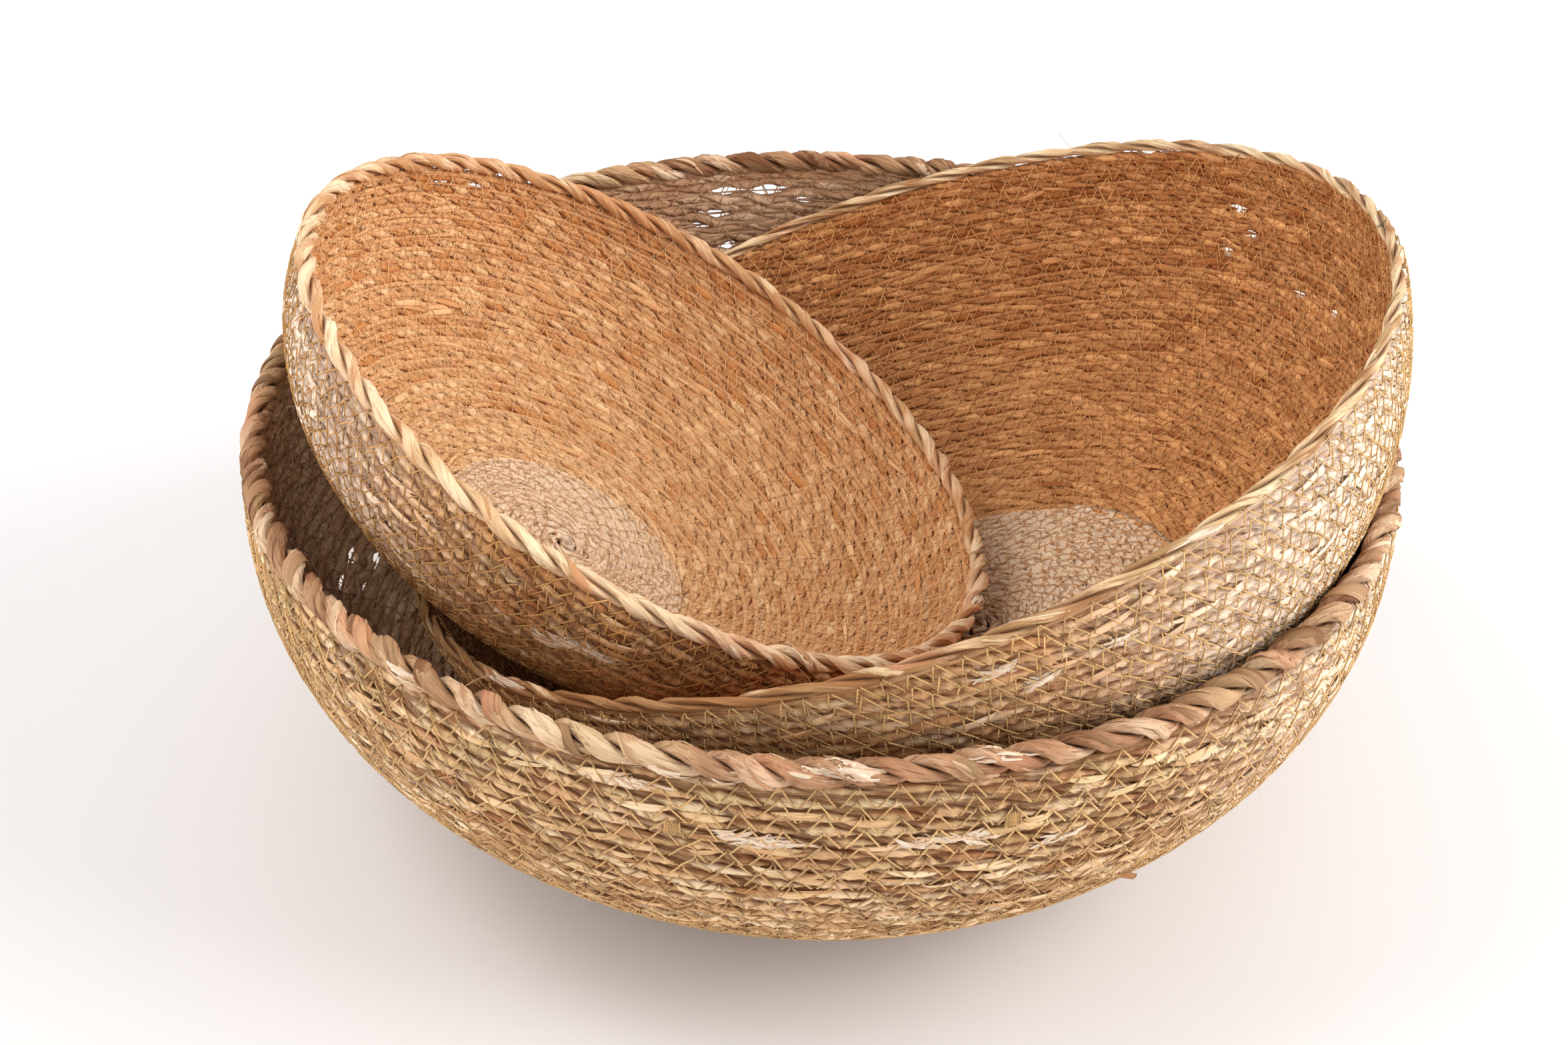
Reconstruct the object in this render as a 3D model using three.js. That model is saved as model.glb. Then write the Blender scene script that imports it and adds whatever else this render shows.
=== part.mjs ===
// A nested set of three coiled, thread-sewn seagrass bowls: the large bowl stands level,
// the medium bowl leans in it, and the small bowl leans the other way in the medium one.
// Millimetres, +Z up, with the origin at the middle of the large bowl's underside.
import * as THREE from 'three';

const { degToRad } = THREE.MathUtils;

// Fit between pieces that touch but stay separate.
const seam = 0.3;

// Large bowl.
const largeRimRadius = 175;
const largeHeight = 123;
const largeFloorRadius = 60;
const largeWallSweep = degToRad(99);
const largeCordThickness = 4.6;
const largeBladeThickness = 3.6;
const largeBladeWidth = 6.0;
const largeRimLay = 25.6;
const largeLowerCordHeight = 22;
const largeUpperCordDepth = 13.5;

// Medium bowl.
const mediumRimRadius = 157.5;
const mediumHeight = 101;
const mediumFloorRadius = 69.5;
const mediumWallSweep = degToRad(86.5);
const mediumCordThickness = 4.4;
const mediumBladeThickness = 2.2;
const mediumBladeWidth = 4.4;
const mediumRimLay = 41;
const mediumLowerCordHeight = 20;

// Small bowl.
const smallRimRadius = 119.5;
const smallHeight = 71;
const smallFloorRadius = 42.5;
const smallWallSweep = degToRad(88.5);
const smallCordThickness = 4.2;
const smallBladeThickness = 2.8;
const smallBladeWidth = 4.8;
const smallRimLay = 28.4;
const smallLowerCordHeight = 15;

// How each bowl leans in the one that holds it: the tilt of its axis, the heading it tips
// towards, and its rim's shift along X and Y as shares of the play between the two rims.
const mediumTilt = degToRad(21.3);
const mediumHeading = degToRad(166.4);
const mediumShiftShares = [1.13, -0.1];
const smallTilt = degToRad(50.4);
const smallHeading = degToRad(-2.3);
const smallShiftShares = [-1.81, 0.19];

// Facets.
const turnFacets = 36;
const lowerFacets = 3;
const upperFacets = 2;
const layFacets = 6;
const seatFacets = 96;
const sideParts = 64;
const turnParts = 8;

// Half section of a flattened blade, as shares of its thickness and half width. The first
// and last points lie on the flat face that it turns to its partner.
const bladeSectionShares = [
  [0, 0.55],
  [0, -0.55],
  [0.45, -1],
  [1, 0],
  [0.45, 1],
];

const straw = { color: 0xc9a66b, roughness: 0.85, metalness: 0 };
const darkStraw = { color: 0xb98a55, roughness: 0.85, metalness: 0 };
const greenStraw = { color: 0xc2b078, roughness: 0.8, metalness: 0 };
const paleBlade = { color: 0xe2c9a0, roughness: 0.7, metalness: 0 };
const tanBlade = { color: 0xc79f78, roughness: 0.7, metalness: 0 };

// A bowl's own sizes, with those of its wall curve, a quarter oval from floor to rim, and the
// lengths of cord that the wall is made of, each ending a little below the next.
function bowlFrom(sizes) {
  const twistRadius = sizes.bladeThickness + seam / 2;
  const rimHeight = sizes.height - twistRadius;
  const floorHeight = sizes.cordThickness / 2;
  const spread = (sizes.rimRadius - sizes.floorRadius) / Math.sin(sizes.wallSweep);
  const climb = (rimHeight - floorHeight) / (1 - Math.cos(sizes.wallSweep));
  const wallTop = rimHeight - twistRadius - seam;
  const topSweep = Math.acos(1 - (wallTop - floorHeight) / climb);
  const bowl = { ...sizes, twistRadius, rimHeight, floorHeight, spread, climb, wallTop, topSweep };
  let fromSweep = 0;
  bowl.bands = sizes.cords.map(({ endHeight, endDepth, ...cord }) => {
    const height = endDepth ? wallTop - endDepth : endHeight;
    const toSweep = height ? sweepAt(bowl, height) : topSweep;
    const sweeps = [];
    for (let i = 0; i <= cord.facets; i += 1) {
      sweeps.push(THREE.MathUtils.lerp(fromSweep, toSweep, i / cord.facets));
    }
    fromSweep = toSweep + seam / Math.hypot(climb * Math.sin(toSweep), spread * Math.cos(toSweep));
    return { ...cord, sweeps };
  });
  bowl.wallSweeps = bowl.bands.flatMap(({ sweeps }) => sweeps);
  return bowl;
}

// The point of the wall at one angle of its sweep, moved off its middle towards the outside.
function wallPoint(bowl, sweep, offset) {
  const outward = new THREE.Vector2(
    bowl.climb * Math.sin(sweep),
    -bowl.spread * Math.cos(sweep),
  ).normalize();
  return new THREE.Vector2(
    bowl.floorRadius + bowl.spread * Math.sin(sweep) + offset * outward.x,
    bowl.floorHeight + bowl.climb * (1 - Math.cos(sweep)) + offset * outward.y,
  );
}

// The sweep angle at which the middle of the wall reaches a height.
function sweepAt(bowl, height) {
  return Math.acos(1 - (height - bowl.floorHeight) / bowl.climb);
}

function revolve(points) {
  return new THREE.LatheGeometry([...points, points[0]], turnFacets).rotateX(Math.PI / 2);
}

// One length of the wall's sewn coil.
function wallBand(bowl, { name, sweeps, look }) {
  const outer = sweeps.map((sweep) => wallPoint(bowl, sweep, bowl.cordThickness / 2));
  const inner = sweeps.map((sweep) => wallPoint(bowl, sweep, -bowl.cordThickness / 2)).reverse();
  if (sweeps.at(-1) === bowl.topSweep) {
    outer.at(-1).y = bowl.wallTop;
    inner[0].y = bowl.wallTop;
  }
  return piece(name, revolve([...outer, ...inner]), look);
}

// The flat coil of the floor, which the first turn of the wall goes round.
function floorCoil(bowl) {
  const edge = bowl.floorRadius - seam;
  const points = [
    new THREE.Vector2(0, 0),
    new THREE.Vector2(edge, 0),
    new THREE.Vector2(edge, bowl.cordThickness),
    new THREE.Vector2(0, bowl.cordThickness),
  ];
  return new THREE.LatheGeometry(points, turnFacets).rotateX(Math.PI / 2);
}

// One of the two flattened blades that are twisted round each other along the rim.
function rimBlade(bowl, phase) {
  const lays = Math.round((2 * Math.PI * bowl.rimRadius) / bowl.rimLay);
  const steps = lays * layFacets;
  const sides = bladeSectionShares.length;
  const positions = [];
  const indices = [];
  for (let i = 0; i < steps; i += 1) {
    const heading = (2 * Math.PI * i) / steps;
    const twist = phase - lays * heading;
    for (const [depthShare, widthShare] of bladeSectionShares) {
      const depth = seam / 2 + bowl.bladeThickness * depthShare;
      const width = (bowl.bladeWidth / 2) * widthShare;
      const radius = bowl.rimRadius + depth * Math.cos(twist) - width * Math.sin(twist);
      const height = bowl.rimHeight + depth * Math.sin(twist) + width * Math.cos(twist);
      positions.push(radius * Math.cos(heading), radius * Math.sin(heading), height);
    }
  }
  for (let i = 0; i < steps; i += 1) {
    const here = i * sides;
    const next = ((i + 1) % steps) * sides;
    for (let j = 0; j < sides; j += 1) {
      const k = (j + 1) % sides;
      indices.push(here + j, next + j, here + k, here + k, next + j, next + k);
    }
  }
  const geometry = new THREE.BufferGeometry();
  geometry.setAttribute('position', new THREE.Float32BufferAttribute(positions, 3));
  geometry.setIndex(indices);
  geometry.computeVertexNormals();
  return geometry;
}

function piece(name, geometry, look) {
  const mesh = new THREE.Mesh(geometry, new THREE.MeshStandardMaterial(look));
  mesh.name = name;
  return mesh;
}

// Points spaced along the straight sides of a section.
function alongSides(section) {
  const points = [section[0]];
  for (let i = 1; i < section.length; i += 1) {
    for (let j = 1; j <= sideParts; j += 1) {
      points.push(section[i - 1].clone().lerp(section[i], j / sideParts));
    }
  }
  return points;
}

// Points of a section, turned about the bowl's axis in flat facets of some parts each.
function turned(section, facets, parts) {
  const halfFacet = Math.PI / facets;
  const points = [];
  for (let i = 0; i < facets * parts; i += 1) {
    const heading = (2 * halfFacet * i) / parts;
    const offMiddle = (2 * halfFacet * (i % parts)) / parts - halfFacet;
    const flat = Math.cos(halfFacet) / Math.cos(offMiddle);
    const [alongX, alongY] = [flat * Math.cos(heading), flat * Math.sin(heading)];
    for (const { x, y } of section) points.push(new THREE.Vector3(x * alongX, x * alongY, y));
  }
  return points;
}

// The outside of a bowl as points in its own frame: its wall's flats and its rim as a ring.
function outsidePoints(bowl) {
  const wall = bowl.wallSweeps.map((sweep) => wallPoint(bowl, sweep, bowl.cordThickness / 2));
  const rim = [];
  for (let i = 0; i < seatFacets; i += 1) {
    const turn = (2 * Math.PI * i) / seatFacets;
    rim.push(new THREE.Vector2(
      bowl.rimRadius + bowl.twistRadius * Math.cos(turn),
      bowl.rimHeight + bowl.twistRadius * Math.sin(turn),
    ));
  }
  return [...turned(alongSides(wall), turnFacets, turnParts), ...turned(rim, seatFacets, 1)];
}

// The lowest height, in a bowl's frame, that a point dropped from above may come down to.
// The inside is taken as the circle within its facets.
function insideHeight(bowl, section, distance) {
  const rimGap = bowl.twistRadius + seam;
  const offRim = distance - bowl.rimRadius;
  if (offRim > rimGap) return -Infinity;
  if (offRim > -rimGap) return bowl.rimHeight + Math.sqrt(rimGap ** 2 - offRim ** 2);
  const reach = distance / Math.cos(Math.PI / turnFacets);
  if (reach <= section[0].x) return section[0].y;
  const next = section.findIndex((point) => point.x >= reach);
  if (next < 1) return bowl.wallTop;
  const [low, high] = [section[next - 1], section[next]];
  return THREE.MathUtils.mapLinear(reach, low.x, high.x, low.y, high.y);
}

// How far above a bowl's underside the points come to rest when dropped along its axis.
function restHeight(bowl, points) {
  const section = bowl.wallSweeps.map(
    (sweep) => wallPoint(bowl, sweep, -bowl.cordThickness / 2 - seam),
  );
  let rest = -Infinity;
  for (const point of points) {
    const floor = insideHeight(bowl, section, Math.hypot(point.x, point.y));
    rest = Math.max(rest, floor - point.z);
  }
  return rest;
}

// Places a bowl's group in the one that holds it: tilted, shifted, then dropped to its seat.
function seat(group, inner, outer, lean, passengers) {
  const axis = new THREE.Vector3(
    Math.sin(lean.tilt) * Math.cos(lean.heading),
    Math.sin(lean.tilt) * Math.sin(lean.heading),
    Math.cos(lean.tilt),
  );
  group.quaternion.setFromUnitVectors(new THREE.Vector3(0, 0, 1), axis);
  const play = outer.rimRadius - inner.rimRadius;
  const [alongX, alongY] = lean.shiftShares;
  group.position.set(play * alongX, play * alongY, 0).addScaledVector(axis, -inner.rimHeight);
  group.position.z = 0;
  group.updateMatrix();
  const points = [...outsidePoints(inner), ...passengers];
  for (const point of points) point.applyMatrix4(group.matrix);
  const rest = restHeight(outer, points);
  group.position.z = rest;
  group.updateMatrix();
  for (const point of points) point.z += rest;
  return points;
}

const large = bowlFrom({
  rimRadius: largeRimRadius,
  height: largeHeight,
  floorRadius: largeFloorRadius,
  wallSweep: largeWallSweep,
  cordThickness: largeCordThickness,
  bladeThickness: largeBladeThickness,
  bladeWidth: largeBladeWidth,
  rimLay: largeRimLay,
  cords: [
    {
      name: 'large_lower_wall_coil',
      endHeight: largeLowerCordHeight,
      facets: lowerFacets,
      look: straw,
    },
    {
      name: 'large_middle_wall_coil',
      endDepth: largeUpperCordDepth,
      facets: upperFacets,
      look: straw,
    },
    { name: 'large_upper_wall_coil', facets: upperFacets, look: greenStraw },
  ],
});
const medium = bowlFrom({
  rimRadius: mediumRimRadius,
  height: mediumHeight,
  floorRadius: mediumFloorRadius,
  wallSweep: mediumWallSweep,
  cordThickness: mediumCordThickness,
  bladeThickness: mediumBladeThickness,
  bladeWidth: mediumBladeWidth,
  rimLay: mediumRimLay,
  cords: [
    {
      name: 'medium_lower_wall_coil',
      endHeight: mediumLowerCordHeight,
      facets: lowerFacets,
      look: darkStraw,
    },
    { name: 'medium_upper_wall_coil', facets: upperFacets, look: darkStraw },
  ],
});
const small = bowlFrom({
  rimRadius: smallRimRadius,
  height: smallHeight,
  floorRadius: smallFloorRadius,
  wallSweep: smallWallSweep,
  cordThickness: smallCordThickness,
  bladeThickness: smallBladeThickness,
  bladeWidth: smallBladeWidth,
  rimLay: smallRimLay,
  cords: [
    {
      name: 'small_lower_wall_coil',
      endHeight: smallLowerCordHeight,
      facets: lowerFacets,
      look: straw,
    },
    { name: 'small_upper_wall_coil', facets: upperFacets, look: straw },
  ],
});

const largeGroup = new THREE.Group();
largeGroup.add(
  piece('large_floor_coil', floorCoil(large), straw),
  ...large.bands.map((band) => wallBand(large, band)),
  piece('large_rim_blade_a', rimBlade(large, 0), tanBlade),
  piece('large_rim_blade_b', rimBlade(large, Math.PI), paleBlade),
);

const mediumGroup = new THREE.Group();
mediumGroup.add(
  piece('medium_floor_coil', floorCoil(medium), darkStraw),
  ...medium.bands.map((band) => wallBand(medium, band)),
  piece('medium_rim_blade_a', rimBlade(medium, 0), paleBlade),
  piece('medium_rim_blade_b', rimBlade(medium, Math.PI), paleBlade),
);

const smallGroup = new THREE.Group();
smallGroup.add(
  piece('small_floor_coil', floorCoil(small), straw),
  ...small.bands.map((band) => wallBand(small, band)),
  piece('small_rim_blade_a', rimBlade(small, 0), paleBlade),
  piece('small_rim_blade_b', rimBlade(small, Math.PI), paleBlade),
);

const smallLean = { tilt: smallTilt, heading: smallHeading, shiftShares: smallShiftShares };
const mediumLean = { tilt: mediumTilt, heading: mediumHeading, shiftShares: mediumShiftShares };
const passengers = seat(smallGroup, small, medium, smallLean, []);
seat(mediumGroup, medium, large, mediumLean, passengers);
mediumGroup.add(smallGroup);

const group = new THREE.Group();
group.add(largeGroup, mediumGroup);

export default group;
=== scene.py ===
"""The looks of a nested set of three coiled seagrass bowls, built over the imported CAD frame.

Each bowl is one spiral of twisted two-ply cord, sewn row to row with a zigzag of golden thread
outside and inside, and edged with two leaf blades twisted round each other.
"""

import math

import bmesh
import bpy
import numpy as np
from bpy.props import FloatProperty, FloatVectorProperty, IntProperty, PointerProperty
from mathutils import Matrix, Vector


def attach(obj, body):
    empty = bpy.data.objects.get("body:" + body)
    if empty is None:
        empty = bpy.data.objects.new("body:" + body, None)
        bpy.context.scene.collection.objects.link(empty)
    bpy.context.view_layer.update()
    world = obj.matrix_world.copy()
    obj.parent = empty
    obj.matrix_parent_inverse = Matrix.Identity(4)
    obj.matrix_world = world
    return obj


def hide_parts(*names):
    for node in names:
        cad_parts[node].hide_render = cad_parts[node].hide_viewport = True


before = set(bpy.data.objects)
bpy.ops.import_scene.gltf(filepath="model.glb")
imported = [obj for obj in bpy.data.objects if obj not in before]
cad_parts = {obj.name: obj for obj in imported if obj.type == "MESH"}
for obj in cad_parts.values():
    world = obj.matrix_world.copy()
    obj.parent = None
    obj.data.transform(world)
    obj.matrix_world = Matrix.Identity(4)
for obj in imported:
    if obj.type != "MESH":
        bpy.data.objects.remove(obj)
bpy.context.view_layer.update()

bl_info = {
    "name": "Nested Coiled Seagrass Bowls",
    "version": (1, 0, 0),
    "blender": (4, 5, 0),
    "location": "3D View > Sidebar > Seagrass",
    "description": "Coils, sews and edges a nested set of three seagrass bowls",
    "category": "Add Mesh",
}

MM = 0.001
SEAM = 0.3 * MM
FULL_TURN = 2 * math.pi
# How far the fibres' pattern shifts from one strand to the next, and the wall's depth over which
# a point's side is counted from outside to inside.
FIBRE_SHIFT = 0.377
WALL_DEPTH = 4.8 * MM

# How many points a turn of the coil and a lay of the rim are drawn with, and the steps along the
# cord, in metres, for the sewing and for the slivers and hairs.
POINTS_A_TURN = 90
POINTS_A_LAY = 24
SEWING_STEP = 0.0034
TRIM_STEP = 0.004
# Half depth and half width of a ply, as shares of half the cord and of the pitch, and of a rim's
# leaf, as shares of the CAD's blade.
PLY_DEPTH, PLY_WIDTH = 0.57, 0.45
LEAF_DEPTH, LEAF_WIDTH = 0.55, 0.68
# How far the packing lies inside the row's middle, how deep a stitch dips into its row, and how
# far the thread may reach past the top row.
PACKING_INSET = 0.55 * MM
STITCH_DEPTH = 0.9 * MM
THREAD_REACH = 1.2 * MM
# Edges sharper than this, in degrees, are crisp on a rim's leaves and on the strips over them.
CRISP_LEAF = 44
CRISP_STRIP = 50
# The lengths of the fine hairs in metres, and how common each is.
HAIR_LENGTHS = [0.003, 0.006, 0.01]
HAIR_SHARES = [0.6, 0.3, 0.1]

# Sections of one ply of cord, one rim blade, a thread, the packing and a flat strip of leaf, as
# shares of their half depth and half width, counterclockwise from the side that faces outwards.
PLY_SECTION = [(1.02, 0.08), (0.68, 0.8), (-0.15, 1.02), (-0.92, 0.5), (-0.92, -0.5), (0.0, -1.06),
               (0.76, -0.64)]
BLADE_SECTION = [
    (0.96, 0.0), (0.86, 0.45), (0.62, 0.78), (0.2, 1.0), (-0.5, 0.85), (-0.95, 0.3), (-0.95, -0.35),
    (-0.55, -0.85), (0.1, -1.02), (0.52, -1.12), (0.64, -1.04), (0.92, -0.5),
]
THREAD_SECTION = [(1.0, 0.0), (-0.5, 0.87), (-0.5, -0.87)]
PACKING_SECTION = [(1.0, 0.0), (0.0, 1.0), (-1.0, 0.0), (0.0, -1.0)]
STRIP_SECTION = [(1.0, 0.0), (0.5, 0.75), (-0.6, 1.0), (-0.6, -1.0), (0.75, -0.7)]


def linear(red, green, blue):
    """A colour given in screen values from 0 to 255, as the shader wants it."""
    shares = [value / 255 for value in (red, green, blue)]
    return [s / 12.92 if s <= 0.04045 else ((s + 0.055) / 1.055) ** 2.4 for s in shares]


# Settings


# Each bowl's settings: their labels and descriptions.
LABELS = {
    "row_pitch": ("Row pitch", "Distance from one sewn row of the wall to the next"),
    "floor_pitch": ("Floor pitch", "Distance from row to row in the floor"),
    "ply_lay": ("Ply lay", "Length of cord in which a ply winds once round"),
    "stitch_period": ("Stitch period", "Distance from one zigzag to the next"),
    "stitch_height": ("Stitch height", "Height of a zigzag stroke"),
    "stitch_lean": ("Stitch lean", "Share of a zigzag taken by its falling stroke"),
    "thread_width": ("Thread width", "Width of the sewing thread"),
    "thread": ("Thread", "Colour of the sewing thread outside"),
    "inside_thread": ("Inside thread", "Colour of the sewing thread inside"),
    "pale": ("Pale leaf", "Palest outside leaves"),
    "middle": ("Middle leaf", "Common outside leaves"),
    "deep": ("Deep leaf", "Darkest outside leaves"),
    "inside_pale": ("Inside pale", "Palest inside leaves"),
    "inside_deep": ("Inside deep", "Darkest inside leaves"),
}


def length(key, default):
    label, meaning = LABELS[key]
    return FloatProperty(name=label, description=meaning, default=default, min=0, precision=5,
                         unit="LENGTH")


def share(key, default):
    label, meaning = LABELS[key]
    return FloatProperty(name=label, description=meaning, default=default, min=0, max=1,
                         subtype="FACTOR")


def colour(label, meaning, *screen):
    return FloatVectorProperty(name=label, description=meaning, size=3, min=0, max=1,
                               subtype="COLOR", default=linear(*screen))


def leaf(key, *screen):
    return colour(*LABELS[key], *screen)


class LargeBowlSettings(bpy.types.PropertyGroup):
    """Coil, sewing and colours of the large bowl."""

    row_pitch: length("row_pitch", 0.0043)
    floor_pitch: length("floor_pitch", 0.0033)
    ply_lay: length("ply_lay", 0.031)
    stitch_period: length("stitch_period", 0.0098)
    stitch_height: length("stitch_height", 0.006)
    stitch_lean: share("stitch_lean", 0.5)
    thread_width: length("thread_width", 0.00062)
    thread: leaf("thread", 220, 176, 118)
    inside_thread: leaf("inside_thread", 214, 168, 124)
    pale: leaf("pale", 254, 226, 188)
    middle: leaf("middle", 242, 198, 148)
    deep: leaf("deep", 176, 120, 74)
    # Painted light: the large bowl's inside leaves are set pale, to stand for light that comes through the
    # weave.
    inside_pale: leaf("inside_pale", 250, 212, 176)
    inside_deep: leaf("inside_deep", 220, 172, 132)


class MediumBowlSettings(bpy.types.PropertyGroup):
    """Coil, sewing and colours of the medium bowl."""

    row_pitch: length("row_pitch", 0.0039)
    floor_pitch: length("floor_pitch", 0.003)
    ply_lay: length("ply_lay", 0.022)
    stitch_period: length("stitch_period", 0.0068)
    stitch_height: length("stitch_height", 0.0058)
    stitch_lean: share("stitch_lean", 0.74)
    thread_width: length("thread_width", 0.00052)
    thread: leaf("thread", 222, 178, 116)
    inside_thread: leaf("inside_thread", 238, 176, 112)
    pale: leaf("pale", 254, 228, 196)
    middle: leaf("middle", 240, 188, 136)
    deep: leaf("deep", 204, 142, 88)
    inside_pale: leaf("inside_pale", 250, 186, 122)
    inside_deep: leaf("inside_deep", 168, 100, 48)


class SmallBowlSettings(bpy.types.PropertyGroup):
    """Coil, sewing and colours of the small bowl."""

    row_pitch: length("row_pitch", 0.0039)
    floor_pitch: length("floor_pitch", 0.0028)
    ply_lay: length("ply_lay", 0.019)
    stitch_period: length("stitch_period", 0.006)
    stitch_height: length("stitch_height", 0.0053)
    stitch_lean: share("stitch_lean", 0.3)
    thread_width: length("thread_width", 0.0005)
    thread: leaf("thread", 208, 154, 88)
    inside_thread: leaf("inside_thread", 246, 194, 140)
    pale: leaf("pale", 248, 214, 172)
    middle: leaf("middle", 226, 172, 118)
    deep: leaf("deep", 172, 104, 52)
    inside_pale: leaf("inside_pale", 254, 212, 160)
    inside_deep: leaf("inside_deep", 208, 140, 80)


class SetSettings(bpy.types.PropertyGroup):
    """Trim and stage, which the three bowls share."""

    green: colour("Green leaf", "Fresh leaves of the large bowl's top rows", 220, 196, 144)
    floor_coil: colour("Floor coil", "Colour of the bowls' floors", 255, 226, 194)
    paper: colour("Torn leaf", "Papery white of torn leaf", 236, 216, 190)
    # Painted shade: the table is darker close to the camera and paler behind the bowls, for the fall of the
    # room's light.
    stage_near: colour("Stage near", "Colour of the table close to the camera", 233, 229, 228)
    stage_far: colour("Stage far", "Colour of the table behind the bowls", 240, 240, 241)
    slivers: IntProperty(name="Slivers", default=1500, min=0, max=6000,
                         description="Number of leaf slivers on each side of the three walls")
    loose_fibres: IntProperty(name="Loose fibres", default=520, min=0, max=4000,
                              description="Number of fine hairs that stand off the cords")
    seed: IntProperty(name="Seed", description="Seed of everything irregular", default=7, min=0)


def shared():
    """The settings that the three bowls share."""
    return bpy.context.scene.seagrass_set


def group_of(bowl):
    """The settings of one bowl."""
    return getattr(bpy.context.scene, "seagrass_" + bowl.name)


# The bowls' own shapes and places, as the CAD has them


def round_axis(radius, heading, height):
    """Points or directions round the upright axis."""
    return np.stack([radius * np.cos(heading), radius * np.sin(heading), height], 1)


class Bowl:
    """A bowl's wall curve with its place in the set. Lengths are in metres."""

    def __init__(self, name, rim_radius, height, floor_radius, wall_sweep, cord, blade, rim_lay, lean,
                 heading, carrier=None):
        self.name = name
        self.body = name + "_bowl"
        self.rim_radius = rim_radius * MM
        self.floor_radius = floor_radius * MM
        self.cord = cord * MM
        self.blade = blade * MM
        self.twist_radius = self.blade + SEAM / 2
        self.rim_height = height * MM - self.twist_radius
        self.floor_height = self.cord / 2
        self.lays = round(FULL_TURN * self.rim_radius / (rim_lay * MM))
        sweep = math.radians(wall_sweep)
        spread = (self.rim_radius - self.floor_radius) / math.sin(sweep)
        climb = (self.rim_height - self.floor_height) / (1 - math.cos(sweep))
        self.wall_top = self.rim_height - self.twist_radius - SEAM
        top_sweep = math.acos(1 - (self.wall_top - self.floor_height) / climb)
        sweeps = np.linspace(0, top_sweep * 1.12, 500)
        across = np.concatenate([np.linspace(0, self.floor_radius, 90)[:-1],
                                 self.floor_radius + spread * np.sin(sweeps)])
        up = np.concatenate([np.full(89, self.floor_height),
                             self.floor_height + climb * (1 - np.cos(sweeps))])
        steps = np.hypot(np.diff(across), np.diff(up))
        self.marks = np.concatenate([[0], np.cumsum(steps)])
        self.across, self.up = across, up
        slope = np.stack([np.gradient(across, self.marks), np.gradient(up, self.marks)])
        slope /= np.hypot(*slope)
        self.out_across, self.out_up = slope[1], -slope[0]
        self.top = self.mark_at(self.wall_top + 0.9 * MM)
        self.place = self.find_place(lean, heading, carrier)

    def mark_at(self, height):
        """Distance from the floor's middle, along the wall, at which it reaches a height."""
        wall = self.marks >= self.floor_radius
        return float(np.interp(height, self.up[wall], self.marks[wall]))

    def find_place(self, lean, heading, carrier):
        """The bowl's turn and place: its tilt in its carrier, standing where its CAD floor is."""
        lean, heading = math.radians(lean), math.radians(heading)
        axis = Vector((math.sin(lean) * math.cos(heading), math.sin(lean) * math.sin(heading),
                       math.cos(lean)))
        turn = Vector((0, 0, 1)).rotation_difference(axis)
        if carrier:
            turn = carrier.place.to_quaternion() @ turn
        corners = {tuple(round(x, 7) for x in v.co)
                   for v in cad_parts[self.name + "_floor_coil"].data.vertices}
        middle = Vector(np.array(sorted(corners)).mean(0))
        foot = middle - turn @ Vector((0, 0, self.floor_height))
        return Matrix.Translation(foot) @ turn.to_matrix().to_4x4()

    def normal(self, along):
        """Outward direction of the wall at a distance along it, as (across, up)."""
        return np.interp(along, self.marks, self.out_across), np.interp(along, self.marks, self.out_up)

    def facing(self, along, heading):
        """The wall's slope at distances along it, and its outward directions at headings."""
        across, up = self.normal(along)
        return np.arctan2(up, across), round_axis(across, heading, up)

    def at(self, along, heading, out=0.0):
        """Points of the wall at a distance along it and a heading, moved outwards."""
        across, up = self.normal(along)
        return round_axis(np.interp(along, self.marks, self.across) + out * across, heading,
                          np.interp(along, self.marks, self.up) + out * up)


LARGE = Bowl("large", 175, 123, 60, 99, 4.6, 3.6, 25.6, 0, 0)
MEDIUM = Bowl("medium", 157.5, 101, 69.5, 86.5, 4.4, 2.2, 41, 21.3, 166.4)
SMALL = Bowl("small", 119.5, 71, 42.5, 88.5, 4.2, 2.8, 28.4, 50.4, -2.3, MEDIUM)
BOWLS = (LARGE, MEDIUM, SMALL)

# The lengths of cord of each wall, from the floor up: the height in the bowl where each ends, and
# its material slot. The last one ends under the rim.
WALL_LENGTHS = {
    "large": {"lower": (0.022, "straw_coil"), "middle": (LARGE.wall_top - 0.0135, "straw_coil"),
              "upper": (None, "green_straw_coil")},
    "medium": {"lower": (0.020, "brown_coil"), "upper": (None, "brown_coil")},
    "small": {"lower": (0.015, "straw_coil"), "upper": (None, "straw_coil")},
}
# How far each length of cord starts before the end of the one below.
LENGTH_OVERLAP = 0.6 * MM

# How far the middle of a rim's leaf lies from the line round which both wind, and how thick the
# leaf is to its skin, as shares of the CAD's blade.
LEAF_OFFSET = 0.525
LEAF_SKIN = 0.57
# How stout each rim's leaves are beside the CAD's blades.
RIM_GIRTH = {"large": 1.0, "medium": 0.84, "small": 0.95}
# How much painted shade darkens each rim towards its shaded side, and that side's heading in degrees.
RIM_PAINTED_SHADE = {"large": (0.15, 60), "medium": (0.7, 205), "small": (0.45, 85)}

# Places where rows part and let light through: heading in degrees, height in the bowl and half
# the width of the gap, both in millimetres.
GAPS = {
    "large": [(101, 115, 0.9), (100.6, 109, 1.5), (95.2, 107, 1.7), (101.5, 99.4, 1.3),
              (100.2, 86.6, 1.0), (104, 92, 0.8), (90.5, 104, 0.9), (174.8, 49.3, 1.2),
              (171.5, 41.3, 1.4), (180.5, 48.3, 1.1), (178, 41, 0.9)],
    "medium": [(49.8, 96, 0.6), (35.8, 79.4, 0.7), (34.2, 70.3, 0.7), (38.2, 64.3, 0.6),
               (23.8, 55.7, 0.7), (14.8, 55, 0.6)],
    "small": [(136.5, 61.5, 0.7), (129.2, 60.8, 0.7)],
}
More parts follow.
